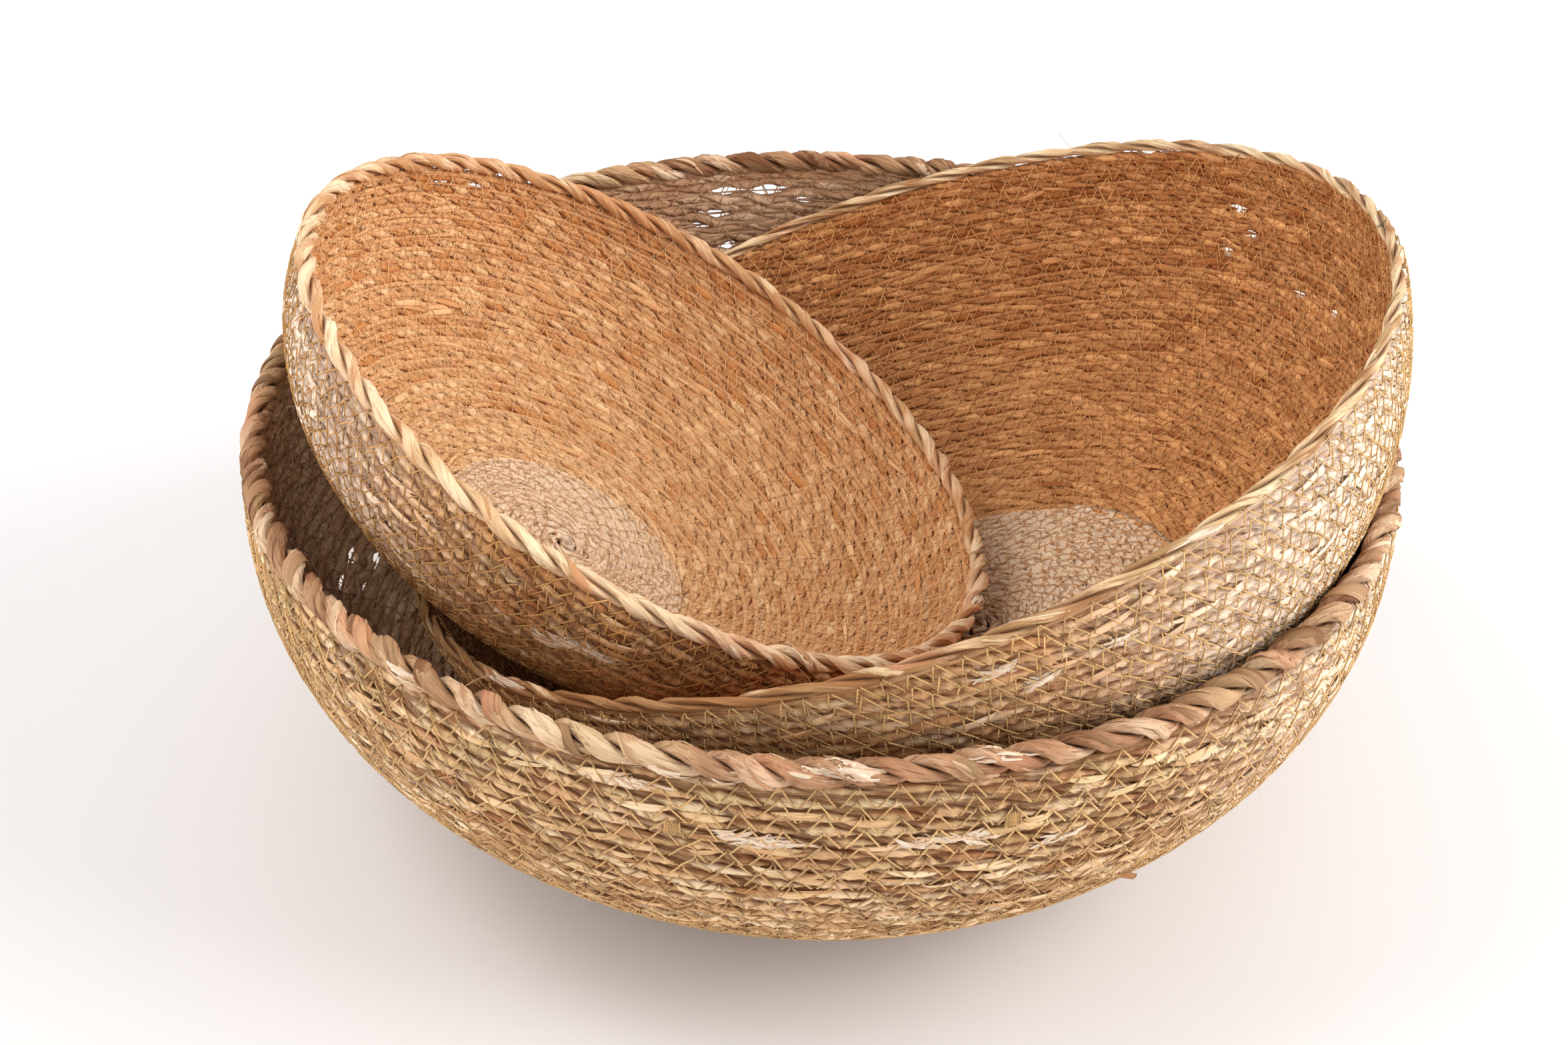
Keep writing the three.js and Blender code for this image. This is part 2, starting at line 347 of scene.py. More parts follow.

# The side of each bowl that is painted paler, as painted light where bright light falls on it: which way it
# lies across the set, where it starts and is full, and how much it pales.
PAINTED_LIGHT_SIDE = {"large": (1, 0.07, 0.175, 0.65), "medium": (1, 0.03, 0.15, 0.78),
            "small": (-1, 0.09, 0.17, 0.8)}

# Deep, middle and pale leaves of each rim, as screen values.
RIM_TONES = {
    "large": [(124, 80, 50), (186, 140, 104), (230, 200, 168)],
    "medium": [(164, 114, 70), (236, 200, 156), (248, 226, 190)],
    "small": [(200, 144, 98), (240, 204, 164), (250, 226, 192)],
}
# How much of each wall's top rows is green.
GREEN_SHARES = {"large": 0.7, "medium": 0.45, "small": 0.1}

# How dark the painted shade is in the chinks between one bowl's leaves.
CHINK_PAINTED_SHADE = {"large": 0.8, "medium": 0.5, "small": 0.62}

# How much the leaves of one cord differ in tone.
LENS_TONE = {"large": 0.42, "medium": 0.26, "small": 0.28}

# Headings, in degrees, where a narrow leaf crosses the large rim steeply.
BANDS = [12, 19, 27, 33, 41, 58, 77, 92, 110, 131, 149, 161, 170, 178, 186, 193, 199, 206, 212, 218.5,
         223.3, 227.1, 232.3, 240, 246.4, 252.9, 308, 317, 325, 331, 338, 344, 352]

# Bleached scraps on the rim: heading and angle round the rim, in degrees, and their number.
SCRAPS = {
    "large": [(269.3, 62, 16), (271.6, 40, 8), (284, 80, 10), (255, -30, 8), (262, -38, 9), (230.5, 5, 4)],
    "medium": [(300, 20, 5), (222, 60, 4)],
    "small": [(345, 60, 7), (348, 10, 5)],
}

# Torn leaf on the outside: heading in degrees, height in the bowl and reach along the row, both
# in millimetres, and the number of scraps.
TUFTS = {
    "large": [(264.5, 98.5, 9, 34), (262, 99.5, 5, 12), (280.2, 98.3, 10, 26), (276.5, 99, 6, 10),
              (252.5, 112, 9, 14), (289, 92, 6, 8)],
    "medium": [(277.2, 89.9, 3, 12), (281, 82, 3, 14), (289.2, 83.2, 5, 10)],
    "small": [(262.5, 42.9, 5, 14), (268, 47.2, 6, 16), (265.2, 45.3, 4, 10)],
}
# Each bowl's share of the slivers and the loose fibres.
TRIM_SHARES = {"large": 0.5, "medium": 0.28, "small": 0.15}

# Bar tacks of the large bowl's sewing: heading in degrees and height in millimetres.
TACKS = [(284.5, 102.8), (256.5, 99.8)]

# Stray fibres that show one by one: the bowl, the heading and the angle round its rim where each
# starts, in degrees, its reach sideways, outwards and upwards in millimetres, its droop and half
# its thickness.
STRAY_FIBRES = {
    "large_curled_fibre": (LARGE, 236.6, 88, (9.5, -4, 11), 0.45, 0.16),
    "medium_stray_fibre": (MEDIUM, 60.8, 84, (2.5, -2, 9), 0.1, 0.14),
    "small_stray_fibre": (SMALL, 346, 60, (-3, 4, 6), 0.4, 0.12),
}

# The table's half size and middle, the room's light beside what the camera sees of it, and the
# lamps: each one's spot, aim, size and power in watts.
TABLE_HALF = 1.0
TABLE_MIDDLE = (0, 0.1, -0.2 * MM)
ROOM_LIGHT = 0.4
LAMPS = {
    "right_window": ((1.8, -0.2, 1.05), (0, 0, 0.08), 1.6, 50),
    "left_window": ((-1.7, 0.1, 0.9), (0, 0, 0.08), 1.6, 17),
    "left_top": ((-1.1, 0.0, 1.9), (-0.1, 0, 0.08), 0.9, 12),
    "overhead": ((0, 0.2, 2.2), (0, 0, 0), 2.2, 7),
    "front_card": ((-0.2, -1.7, 0.45), (0, 0, 0.08), 1.4, 10),
}

# The camera's place, and its turn to the right, down and about its own axis in degrees.
CAMERA_SPOT = (-0.02436, -0.58349, 0.47986)
CAMERA_TURN = (1.324, 34.858, 1.116)


# Irregularity, all of it seeded


def maker(name):
    """A random source of its own for one piece."""
    return np.random.default_rng([shared().seed, *name.encode()])


def drift(rng, distance, scale):
    """A smooth wander between about -1 and 1 that changes over a distance."""
    knots = np.arange(0, distance[-1] / scale + 3)
    heights = rng.uniform(-1, 1, len(knots))
    place = distance / scale
    low = np.floor(place).astype(int)
    part = place - low
    part = part * part * (3 - 2 * part)
    return heights[low] * (1 - part) + heights[low + 1] * part


def wander(rng, waves):
    """A smooth wander between about -1 and 1 that meets itself after a full turn."""
    phases = rng.uniform(0, FULL_TURN, len(waves))

    def walk(heading):
        return 1.5 / len(waves) * sum(np.sin(w * heading + p) for w, p in zip(waves, phases))

    return walk


def tapered(count, power=0.6, start=0.12):
    """Sizes that swell from a narrow end to the middle and narrow again."""
    return np.sin(np.linspace(start, math.pi - start, count)) ** power


# Strands: cords, blades, threads and fibres are curves swept with a section


class Strand:
    """Points with the tilt and size of the section there, and how the leaf lies on the wall."""

    def __init__(self, points, tilt=0.0, size=1.0, tone=0.5, base=None, out=None, climb=0.0, roll=0.0):
        nought = np.zeros(len(points))
        self.points = np.asarray(points, float)
        self.tilt, self.size, self.tone = nought + tilt, nought + size, nought + tone
        self.climb, self.roll = nought + climb, nought + roll
        self.base = self.points if base is None else base
        self.out = np.zeros((len(points), 3)) if out is None else out


def facing_tilt(points, out):
    """The tilt that turns a section's outward side towards the given directions."""
    course = np.gradient(points, axis=0)
    side = np.cross(course, [0, 0, 1])
    side /= np.linalg.norm(side, axis=1)[:, None]
    up = np.cross(side, course / np.linalg.norm(course, axis=1)[:, None])
    return -np.arctan2((out * up).sum(1), (out * side).sum(1))


def section_curve(section, depth, width):
    curve = bpy.data.curves.new("section", "CURVE")
    curve.dimensions = "2D"
    spline = curve.splines.new("POLY")
    spline.points.add(len(section) - 1)
    for point, (deep, wide) in zip(spline.points, section):
        point.co = (deep * depth, wide * width, 0, 1)
    spline.use_cyclic_u = True
    return curve


def sweep(strands, section, depth, width, closed=False, twist="Z_UP"):
    """A mesh of strands, each swept with the section, with where every point lies on its leaf."""
    bevel = bpy.data.objects.new("section", section_curve(section, depth, width))
    curve = bpy.data.curves.new("strands", "CURVE")
    curve.dimensions = "3D"
    curve.twist_mode = twist
    curve.bevel_mode = "OBJECT"
    curve.bevel_object = bevel
    curve.use_fill_caps = not closed
    for strand in strands:
        count = len(strand.points)
        spline = curve.splines.new("POLY")
        spline.points.add(count - 1)
        spline.points.foreach_set("co", np.column_stack([strand.points, np.ones(count)]).ravel())
        spline.points.foreach_set("tilt", strand.tilt % FULL_TURN)
        spline.points.foreach_set("radius", strand.size)
        spline.use_cyclic_u = closed
    carrier = bpy.data.objects.new("strands", curve)
    for helper in (bevel, carrier):
        bpy.context.scene.collection.objects.link(helper)
    bpy.context.view_layer.update()
    mesh = bpy.data.meshes.new_from_object(carrier.evaluated_get(bpy.context.evaluated_depsgraph_get()))
    for helper in (carrier, bevel):
        data = helper.data
        bpy.data.objects.remove(helper)
        bpy.data.curves.remove(data)
    note_leaf(mesh, strands, np.array(section) * (depth, width), closed)
    return mesh


def note_leaf(mesh, strands, corners, closed):
    """Stores on each point its place along its leaf's fibres, its tone, side and height.

    The mesh holds the end caps' points first, strand by strand from the last one.
    """
    leaves = []
    for number, strand in enumerate(strands):
        steps = np.linalg.norm(np.diff(strand.points, axis=0), axis=1)
        run = np.concatenate([[0], np.cumsum(steps)]) + number * FIBRE_SHIFT
        roll, size = strand.roll[:, None], strand.size[:, None]
        deep = (corners[:, 0] * np.cos(roll) - corners[:, 1] * np.sin(roll)) * size
        wide = (corners[:, 0] * np.sin(roll) + corners[:, 1] * np.cos(roll)) * size
        course = np.column_stack([run, strand.tone, strand.climb, strand.base, strand.out])
        course = np.repeat(course[:, None], len(corners), 1)
        leaves.append(np.concatenate([deep[:, :, None], wide[:, :, None], course], 2))
    caps = [] if closed else [leaf[[-1, 0]] for leaf in reversed(leaves)]
    table = np.concatenate([part.reshape(-1, 11) for part in caps + leaves])
    deep, wide, run, tone, climb = table[:, :5].T
    points = np.empty(len(mesh.vertices) * 3)
    mesh.vertices.foreach_get("co", points)
    proud = ((points.reshape(-1, 3) - table[:, 5:8]) * table[:, 8:]).sum(1)
    inwards = np.clip(0.5 - proud / WALL_DEPTH, 0, 1)
    for name, values in (("grain", (run, deep, wide)), ("place", (tone, inwards, climb))):
        attribute = mesh.attributes.new(name, "FLOAT_VECTOR", "POINT")
        attribute.data.foreach_set("vector", np.stack(values, 1).ravel())


def close_up(mesh, crisp):
    """Joins each strand's end caps to it and turns its faces outwards. Edges are crisp past an angle."""
    shell = bmesh.new()
    shell.from_mesh(mesh)
    bmesh.ops.remove_doubles(shell, verts=shell.verts, dist=1e-8)
    if shell.calc_volume(signed=True) < 0:
        bmesh.ops.reverse_faces(shell, faces=shell.faces)
    for face in shell.faces:
        face.smooth = True
    if crisp:
        for edge in shell.edges:
            edge.smooth = edge.calc_face_angle(0.0) < math.radians(crisp)
    shell.to_mesh(mesh)
    shell.free()


def lay_down(name, bowl, strands, section, depth, width, finish, nodes=(), crisp=None,
             closed=False, twist="Z_UP"):
    """Sweeps strands and puts the mesh in its bowl's place, riding on the bowl."""
    mesh = sweep(strands, section, depth, width, closed, twist)
    close_up(mesh, crisp)
    mesh.transform(bowl.place)
    if bowl is LARGE:
        stand_on_table(mesh)
    mesh.name = name
    mesh.materials.clear()
    mesh.materials.append(finish)
    mesh.update()
    piece = bpy.data.objects.new(name, mesh)
    bpy.context.scene.collection.objects.link(piece)
    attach(piece, bowl.body)
    if nodes:
        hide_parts(*nodes)


def stand_on_table(mesh):
    """Presses flat what would reach below the table."""
    points = np.empty(len(mesh.vertices) * 3)
    mesh.vertices.foreach_get("co", points)
    points[2::3] = np.maximum(points[2::3], 0)
    mesh.vertices.foreach_set("co", points)


# Coil


class Coil:
    """The spiral of rows of one bowl: headings and distances along the wall, at even steps."""

    def __init__(self, bowl, step):
        self.bowl, self.group = bowl, group_of(bowl)
        self.floor_turns = bowl.floor_radius / self.group.floor_pitch
        rows = (bowl.top - bowl.floor_radius) / self.group.row_pitch - 0.5
        self.pitch = (bowl.top - bowl.floor_radius) / (rows + 0.5)
        self.last = self.floor_turns + rows + 1
        turns = np.linspace(0.35, self.last - 0.03, int(self.last * POINTS_A_TURN))
        marks = self.mark(turns)
        radii = np.interp(marks, bowl.marks, bowl.across)
        lengths = np.concatenate([[0], np.cumsum(np.hypot(
            np.diff(turns) * FULL_TURN * (radii[1:] + radii[:-1]) / 2, np.diff(marks)))])
        self.run = np.arange(0, lengths[-1], step)
        self.turns = np.interp(self.run, lengths, turns)
        self.along = self.mark(self.turns)
        self.heading = self.turns * FULL_TURN
        wedge = 2 * (self.along - self.mark(self.turns - 1)) / self.pitch - 1
        on_floor = self.group.floor_pitch / self.pitch
        wall = np.clip((self.turns - self.floor_turns) * 3, 0, 1)
        self.size = np.where(self.turns > self.last - 1, np.clip(wedge, 0.1, 1),
                             on_floor + (1 - on_floor) * wall)
        self.gaps = []
        for degrees, height, half in GAPS[bowl.name]:
            first = bowl.floor_radius + ((degrees / 360 - self.floor_turns) % 1 + 0.5) * self.pitch
            rise = round((bowl.mark_at(height * MM) - first) / self.pitch) * self.pitch
            self.gaps.append((math.radians(degrees), first + rise, half * MM))

    def mark(self, turns):
        """Distance along the wall after a number of turns. The last turn fills a closing wedge."""
        floor_radius = self.bowl.floor_radius
        row = np.where(turns < self.floor_turns, turns * self.group.floor_pitch,
                       floor_radius + (turns - self.floor_turns) * self.pitch)
        under = floor_radius + (turns - 1 - self.floor_turns) * self.pitch + self.pitch / 2
        return np.where(turns > self.last - 1, (self.bowl.top + under) / 2, row)

    def where(self, run):
        """Heading, distance along the wall and row size at distances along the cord."""
        return (np.interp(run, self.run, self.heading), np.interp(run, self.run, self.along),
                np.interp(run, self.run, self.size))

    def near(self, gap, heading):
        """How near a heading is to a gap, from 0 to 1."""
        turn, mark, half = gap
        off = (heading - turn + math.pi) % FULL_TURN - math.pi
        off = off * np.interp(mark, self.bowl.marks, self.bowl.across)
        return np.exp(-(off / (half * 2.6 + 1 * MM)) ** 2)

    def parted(self, along, heading):
        """Distances along the wall, moved apart where rows leave a gap."""
        shift = np.zeros_like(along)
        for gap in self.gaps:
            off = along - gap[1]
            away = np.tanh(off / (1.2 * MM)) * np.exp(-np.abs(off) / (8 * MM))
            shift += (1.4 * gap[2] + 0.8 * MM) * away * self.near(gap, heading)
        return along + shift

    def closed(self, along, heading):
        """1 where rows lie close together, falling to nearly 0 in a gap."""
        share = np.ones_like(along)
        for gap in self.gaps:
            share *= 1 - 0.97 * self.near(gap, heading) ** 0.4 * (np.abs(along - gap[1]) < 2 * MM)
        return share


def by_lens(rng, turn):
    """A value from -1 to 1 for each stretch of a ply that shows between two crossings."""
    place = (turn - turn.min()) / math.pi + (turn.min() / math.pi - 0.5) % 1
    low = np.floor(place).astype(int)
    blend = np.clip((place - low - 0.86) / 0.14, 0, 1)
    values = rng.uniform(-1, 1, low.max() + 2)
    return values[low] * (1 - blend) + values[low + 1] * blend


def ply_strands(coil, rng, start, stop):
    """The two plies of the cord between two distances along the wall."""
    bowl = coil.bowl
    part = (coil.along >= start) & (coil.along < stop)
    run, along, heading, size = (v[part] for v in (coil.run, coil.along, coil.heading, coil.size))
    run = run - run[0]
    phase = -FULL_TURN * run / coil.group.ply_lay
    phase += 2.4 * drift(rng, run, 0.07) + 0.8 * drift(rng, run, 0.023)
    along = coil.parted(along + 0.00028 * drift(rng, run, 0.045) * size, heading)
    proud = 0.00026 * drift(rng, run, 0.05) + 0.00018 * drift(rng, run, 0.016)
    slope, facing = bowl.facing(along, heading)
    common = drift(rng, run, 0.11)
    strands = []
    for ply in range(2):
        turn = phase + math.pi * ply
        girth = size * (0.86 + 0.2 * np.cos(turn) ** 2 + 0.16 * drift(rng, run, 0.034)
                        + 0.08 * drift(rng, run, 0.011))
        offset = 0.455 * bowl.cord / 2 * size
        tone = 0.52 + LENS_TONE[bowl.name] * by_lens(rng, turn) + 0.14 * drift(rng, run, 0.013) + 0.1 * common
        strands.append(Strand(
            bowl.at(along + 0.9 * offset * np.sin(turn), heading,
                    offset * np.cos(turn) + proud * size),
            tilt=-(slope + turn), size=girth, tone=tone, base=bowl.at(along, heading), out=facing,
            climb=along / bowl.top, roll=turn))
    return strands


def packing_strand(coil, start, stop):
    """The leaf packed between one row and the next, which closes the chinks."""
    bowl = coil.bowl
    inside = (coil.along >= start) & (coil.along < stop) & (coil.turns < coil.last - 1)
    part = np.flatnonzero(inside)[::2]
    size = coil.size[part]
    along, heading = coil.along[part] + coil.pitch * size / 2, coil.heading[part]
    slope, facing = bowl.facing(along, heading)
    return Strand(bowl.at(along, heading, -PACKING_INSET), tilt=-slope,
                  size=size * coil.closed(along, heading), base=bowl.at(along, heading), out=facing,
                  climb=along / bowl.top)


def wind_coil(bowl):
    """The floor and the wall lengths of one bowl's cord, and the packing between rows."""
    coil = Coil(bowl, min(0.004, 0.23 * MM + 0.155 * group_of(bowl).ply_lay))
    lengths = [("floor_coil", bowl.floor_radius, "floor_coil")]
    for word, (height, slot) in WALL_LENGTHS[bowl.name].items():
        lengths.append((word + "_wall_coil", bowl.mark_at(height) if height else 1.0, slot))
    start = 0.0
    for part, stop, slot in lengths:
        node = f"{bowl.name}_{part}"
        finish = floor_finish(bowl) if part == "floor_coil" else wall_finish(bowl)
        lay_down(node.replace("_coil", "_cord"), bowl, ply_strands(coil, maker(node), start, stop),
                 PLY_SECTION, bowl.cord / 2 * PLY_DEPTH, coil.pitch * PLY_WIDTH, finish, [node])
        lay_down(node.replace("_coil", "_packing"), bowl, [packing_strand(coil, start, stop)],
                 PACKING_SECTION, 1.2 * MM, coil.pitch * 0.36, finish)
        start = stop - LENGTH_OVERLAP


# Rims


class Rim:
    """Two leaf blades wound round each other, as in the CAD, with a leaf's unevenness."""

    def __init__(self, bowl):
        self.bowl = bowl
        both = maker(bowl.name + "_rim")
        self.slip, self.sag = wander(both, (5, 11, 17, 29)), wander(both, (3, 7, 13, 23))
        self.girths, self.tones = {}, {}
        for letter in "ab":
            rng = maker(bowl.name + "_rim_" + letter)
            self.girths[letter] = wander(rng, (7, 19, 31, 43, 61))
            self.tones[letter] = wander(rng, (3, 8, 13, 21, 34, 55, 71))

    def twist(self, letter, heading):
        return -self.bowl.lays * heading + 0.5 * self.slip(heading) + (math.pi if letter == "b" else 0)

    def girth(self, letter, heading):
        return (1 + 0.15 * self.girths[letter](heading)) * RIM_GIRTH[self.bowl.name]

    def tone(self, letter, heading):
        # Painted shade: each rim darkens towards the side where it lies in shade.
        most, side = RIM_PAINTED_SHADE[self.bowl.name]
        shade = most * (0.5 + 0.5 * np.cos(heading - math.radians(side))) ** 1.5
        return 0.5 + (-0.14 if letter == "a" else 0.1) + 0.36 * self.tones[letter](heading) - shade

    def middle(self, heading):
        """Points of the line round which the blades wind."""
        bowl = self.bowl
        return round_axis(bowl.rim_radius, heading, bowl.rim_height + 0.12 * bowl.blade * self.sag(heading))

    def outward(self, heading, angle):
        """Directions out of that line at angles round it."""
        return round_axis(np.cos(angle), heading, np.sin(angle) + 0 * heading)

    def at(self, letter, heading, round_ply=0.0, proud=0.0):
        """Points in the middle of a blade, or on its skin at an angle round it."""
        twist = self.twist(letter, heading)
        depth = self.bowl.blade * LEAF_OFFSET * self.girth(letter, heading)
        proud = np.broadcast_to(proud, heading.shape)
        return (self.middle(heading) + self.outward(heading, twist) * depth[:, None]
                + self.outward(heading, twist + round_ply) * proud[:, None])

    def blade(self, letter):
        steps = self.bowl.lays * POINTS_A_LAY
        heading = np.arange(steps) / steps * FULL_TURN
        twist = self.twist(letter, heading)
        return Strand(self.at(letter, heading), tilt=-twist, size=self.girth(letter, heading),
                      tone=self.tone(letter, heading), base=self.middle(heading),
                      out=self.outward(heading, twist), climb=1.0, roll=twist)

    def skin(self, heading, angle):
        """How far the blades' skin lies from the rim's middle at an angle round it."""
        reach = np.zeros_like(heading)
        for letter in "ab":
            girth = self.girth(letter, heading)
            depth, ply = self.bowl.blade * LEAF_OFFSET * girth, self.bowl.blade * LEAF_SKIN * girth
            off = angle - self.twist(letter, heading)
            reach = np.maximum(reach, depth * np.cos(off) + np.sqrt(
                np.maximum(ply ** 2 - (depth * np.sin(off)) ** 2, 0)))
        return reach

    def over(self, heading, angle, proud, size, tone):
        """A strip that lies over the blades along a line of headings and angles round the rim."""
        reach = self.skin(heading, angle)
        reach = (reach + np.roll(reach, 1) + np.roll(reach, -1)) / 3 + proud
        reach[[0, -1]] = self.skin(heading, angle)[[0, -1]] - 0.5 * MM
        middle, out = self.middle(heading), self.outward(heading, angle)
        points = middle + out * reach[:, None]
        return Strand(points, tilt=facing_tilt(points, out), size=size, tone=tone, base=middle,
                      out=out, climb=1.0)

    def bands(self, rng):
        """Narrow leaves that cross the rim steeply."""
        strands = []
        for degrees in BANDS:
            middle, slant = math.radians(degrees), rng.uniform(1.5, 2.6) * FULL_TURN / 360
            strands.append(self.over(
                middle + np.linspace(slant, -slant, 15), np.radians(np.linspace(-62, 190, 15)),
                0.15 * MM, (0.9 + 0.1 * np.sin(np.linspace(0, math.pi, 15))) * rng.uniform(0.8, 1.1),
                rng.uniform(-0.1, 0.5)))
        return strands

    def scraps(self, rng):
        """Bleached, torn leaf that lies along the top of a blade."""
        strands = []
        for degrees, angle, count in SCRAPS[self.bowl.name]:
            for _ in range(count):
                middle = math.radians(degrees + rng.normal(0, 1.1))
                span = rng.uniform(0.8, 2.6) * FULL_TURN / 360
                strands.append(self.over(
                    middle + np.linspace(-span, span, 9),
                    math.radians(angle) + rng.normal(0, 0.35) + np.linspace(0.25, -0.25, 9),
                    rng.uniform(0.25, 0.7) * MM + 0.12 * MM * rng.normal(0, 1, 9),
                    tapered(9, start=0.15) * rng.uniform(0.3, 1.1), rng.uniform(0, 1)))
        return strands

    def slivers(self, rng, count):
        """Strips of leaf, narrow and wide, that slant over the blades with their edges standing off."""
        strands = []
        for start in rng.uniform(0, FULL_TURN, count):
            letter = rng.choice(["a", "b"])
            span = rng.uniform(0.35, 0.75) / self.bowl.lays * FULL_TURN
            heading = start + np.linspace(0, span, 9)
            slant = rng.uniform(0.3, 1.2) * rng.choice([-1, 1])
            round_ply = np.linspace(-slant, slant, 9) + rng.uniform(-0.5, 0.5)
            skin = self.bowl.blade * 0.6 * self.girth(letter, heading)
            taper = tapered(9)
            angle = self.twist(letter, heading) + round_ply
            strands.append(Strand(
                self.at(letter, heading, round_ply, skin - 0.4 * MM * (1 - taper)),
                tilt=-angle + rng.normal(0, 0.12),
                size=taper * rng.choice([0.6, 0.9, 1.6, 2.1]) * rng.uniform(0.8, 1.15),
                tone=self.tone(letter, heading) + rng.normal(0, 0.3), base=self.middle(heading),
                out=self.outward(heading, self.twist(letter, heading)), climb=1.0, roll=angle))
        return strands


# Sewing thread


def zigzag(coil, rng, side, lift):
    """The thread that joins each row to the next, on one side of the wall."""
    bowl, settings = coil.bowl, coil.group
    first, last = coil.turns[0] + 1.0, coil.last - 1.0
    ends = np.interp([first, last], coil.turns, coil.run)
    period = settings.stitch_period
    count = int((ends[1] - ends[0]) / period)
    start = ends[0] + (np.arange(count) + rng.uniform(-0.1, 0.1, count)) * period
    fall = settings.stitch_lean + rng.uniform(-0.07, 0.07, count)
    holes = np.append(np.stack([start, start + period * fall], 1).ravel(), ends[1])
    top = settings.stitch_height / 2 * (1 + rng.uniform(-0.2, 0.25, len(holes)))
    up = np.where(np.arange(len(holes)) % 2 == 0, top, -top) + 0.0003 * rng.uniform(-1, 1, len(top))
    parts = np.array([0, 0.15, 0.85])
    run = np.append((holes[:-1, None] + np.diff(holes)[:, None] * parts).ravel(), holes[-1])
    rise = np.append((up[:-1, None] + np.diff(up)[:, None] * parts).ravel(), up[-1])
    heading, along, size = coil.where(run)
    half = bowl.cord / 2
    sunk, taut = half - STITCH_DEPTH, half + lift
    out = np.append(np.tile([sunk, taut, taut], len(holes) - 1), sunk) * size
    along = along + coil.pitch * size / 2 + rise * size
    along = np.minimum(coil.parted(along, heading), bowl.top + THREAD_REACH)
    out = out + 0.00012 * rng.uniform(-1, 1, len(out))
    return Strand(bowl.at(along, heading, side * out))


# Slivers of leaf, torn tufts, loose fibres and the sewing's ends


def rough_strip(coil, rng, run_at, side):
    """A sliver of leaf that lies along a row, tucked in at both ends."""
    bowl, reach = coil.bowl, rng.uniform(0.008, 0.019)
    heading, along, row = coil.where(run_at + np.linspace(-0.5, 0.5, 7) * reach)
    taper = tapered(7, 0.7)
    slant, shift = rng.uniform(-1.3, 1.3) * MM, rng.uniform(-0.5, 0.5) * coil.pitch
    along = coil.parted(along + slant * np.linspace(-1, 1, 7) + shift, heading)
    rise = rng.uniform(0.0, 0.3) if side > 0 else rng.uniform(-0.12, 0.08)
    proud = (bowl.cord / 2 * row + rise * MM) * taper ** 0.25 - 0.6 * MM * (1 - taper)
    tone = rng.normal(0.5, 0.24 if bowl is LARGE and side > 0 else 0.16)
    slope, facing = bowl.facing(along, heading)
    tilt = -slope + (0 if side > 0 else math.pi) + rng.uniform(-0.25, 0.25)
    return Strand(bowl.at(along, heading, side * proud), tilt=tilt, size=taper * rng.uniform(0.6, 1.4),
                  tone=np.clip(tone, 0, 1.1), base=bowl.at(along, heading), out=facing,
                  climb=along / bowl.top)


def rough_strips(coil, rng, side, count):
    """Many slivers on one side of the wall."""
    ends = np.interp([coil.floor_turns + 1, coil.last - 1.2], coil.turns, coil.run)
    return [rough_strip(coil, rng, run_at, side) for run_at in rng.uniform(*ends, count)]


def curl(rng, start, towards, reach, points=7, bend=0.8):
    """The points of a fibre that leaves a place in a direction and bends as it goes."""
    course = np.array(towards, float)
    turn = rng.normal(0, bend, 3)
    steps = [np.array(start, float)]
    for _ in range(points - 1):
        course = course + turn * 0.35 + rng.normal(0, 0.12 * bend, 3)
        course /= np.linalg.norm(course)
        steps.append(steps[-1] + course * reach / (points - 1))
    return np.array(steps)


def frame_at(bowl, degrees, height, out=0.0):
    """A point of the wall's outside, with its outward, sideways and upward directions."""
    heading, along = np.array([math.radians(degrees)]), np.array([bowl.mark_at(height * MM)])
    outward = bowl.facing(along, heading)[1][0]
    sideways = np.array([-math.sin(heading[0]), math.cos(heading[0]), 0.0])
    point = bowl.at(along, heading, bowl.cord / 2 + out)[0]
    return point, outward, sideways, np.cross(outward, sideways)


def laid(bowl, degrees, height, side, rise, out, size, tone=0.5):
    """A strand on the outside of the wall, at steps in millimetres sideways, up and out."""
    mark = bowl.mark_at(height * MM)
    along = mark + rise * MM
    heading = math.radians(degrees) + side * MM / np.interp(mark, bowl.marks, bowl.across)
    facing = bowl.facing(along, heading)[1]
    points = bowl.at(along, heading, bowl.cord / 2 + out * MM)
    return Strand(points, tilt=facing_tilt(points, facing), size=size, tone=tone,
                  base=bowl.at(along, heading), out=facing, climb=mark / bowl.top)


def tuft(bowl, rng, degrees, height, reach, count):
    """Crumpled scraps of torn leaf at one place of the wall."""
    strands = []
    for _ in range(count):
        course, span = rng.normal(0, 0.24), rng.uniform(4, 11) * np.linspace(-0.5, 0.5, 8)
        taper = tapered(8, start=0.15)
        strands.append(laid(
            bowl, degrees, height, rng.normal(0, reach / 2) + span * math.cos(course),
            rng.normal(0, 0.75) + span * math.sin(course) + 0.12 * rng.normal(0, 1, 8),
            rng.uniform(-0.1, 0.5) + 0.14 * rng.normal(0, 1, 8) - 0.8 * (1 - taper),
            taper * rng.uniform(0.3, 1.15), rng.uniform(0, 1)))
    return strands


def bar_tack(degrees, height):
    """The thread wound round a row over and over where the sewing stops or starts."""
    swing = np.tile([-1.0, -0.75, 0.0, 0.75, 1.0, 0.75, 0.0, -0.75], 6)
    return laid(LARGE, degrees, height, np.linspace(-2.1, 2.1, len(swing)), swing * 2.4,
                0.65 - 1.3 * (np.abs(swing) == 1), 1.0)


def stray_fibre(bowl, degrees, angle, reach, droop):
    """One fibre that starts on the rim, thinner towards its end."""
    heading, wave = math.radians(degrees), np.linspace(0, 1, 12)
    start = Rim(bowl).over(np.full(3, heading), np.full(3, math.radians(angle)), 0, 1.0, 0).points[1]
    sideways, outward, upward = reach
    c, s = math.cos(heading), math.sin(heading)
    path = (np.outer(wave, np.array([-s, c, 0]) * sideways + np.array([c, s, 0]) * outward)
            + np.outer(wave - droop * wave ** 2, [0, 0, upward]))
    return Strand(start + path * MM, size=np.linspace(1, 0.6, 12))


